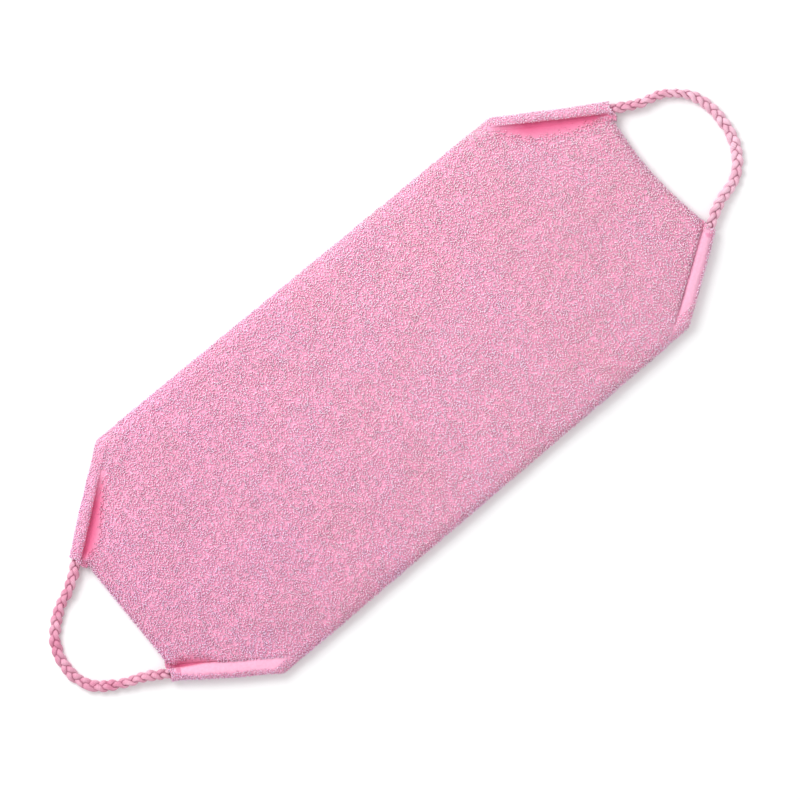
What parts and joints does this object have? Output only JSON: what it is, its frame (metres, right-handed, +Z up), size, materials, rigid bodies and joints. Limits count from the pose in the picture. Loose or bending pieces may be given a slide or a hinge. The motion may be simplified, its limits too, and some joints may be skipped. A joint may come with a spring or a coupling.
{
  "type": "back scrubbing pad",
  "caption": "Flat eight-sided bath scrubbing pad of loop-pile cloth, with a folding loop of plaited cord at each end that comes out of rolled hems on the cut corners.",
  "frame": {"origin": "on the surface that the pad lies on, under the middle of the pad without its two free cord loops", "axes": "+X along the pad to its right-hand handle, +Y across the pad, +Z up out of the front panel"},
  "size_m": [0.6096, 0.208, 0.012],
  "materials": {
    "loop_pile_cloth": "matte",
    "hem_cloth": "matte",
    "plaited_cord": "matte",
    "sewing_thread": "satin",
    "sponge_liner": "matte"
  },
  "bodies": {
    "pad": {"back_panel": "loop_pile_cloth", "front_panel": "loop_pile_cloth", "foam_core": "sponge_liner", "side_seam_thread_upper": "sewing_thread", "side_seam_thread_lower": "sewing_thread", "end_seam_thread_right": "sewing_thread", "end_seam_thread_left": "sewing_thread", "hem_casing_right_upper": "hem_cloth", "hem_casing_right_lower": "hem_cloth", "hem_casing_left_upper": "hem_cloth", "hem_casing_left_lower": "hem_cloth", "cord_tail_right_upper": "plaited_cord", "cord_tail_right_lower": "plaited_cord", "cord_tail_left_upper": "plaited_cord", "cord_tail_left_lower": "plaited_cord", "hem_stitches_right_upper": "sewing_thread", "hem_stitches_right_lower": "sewing_thread", "hem_stitches_left_upper": "sewing_thread", "hem_stitches_left_lower": "sewing_thread", "bar_tack_right_upper": "sewing_thread", "bar_tack_right_lower": "sewing_thread", "bar_tack_left_upper": "sewing_thread", "bar_tack_left_lower": "sewing_thread"},
    "right_handle": {"handle_cord_right": "plaited_cord"},
    "left_handle": {"handle_cord_left": "plaited_cord"}
  },
  "joints": [
    {"name": "right_handle_fold", "type": "hinge", "parent": "pad", "child": "right_handle", "pos_m": [0.253, -0.003, 0.0055], "axis": [0, -1, 0], "range_deg": [0, 120]},
    {"name": "left_handle_fold", "type": "hinge", "parent": "pad", "child": "left_handle", "pos_m": [-0.253, -0.0035, 0.0055], "axis": [0, 1, 0], "range_deg": [0, 120]}
  ]
}
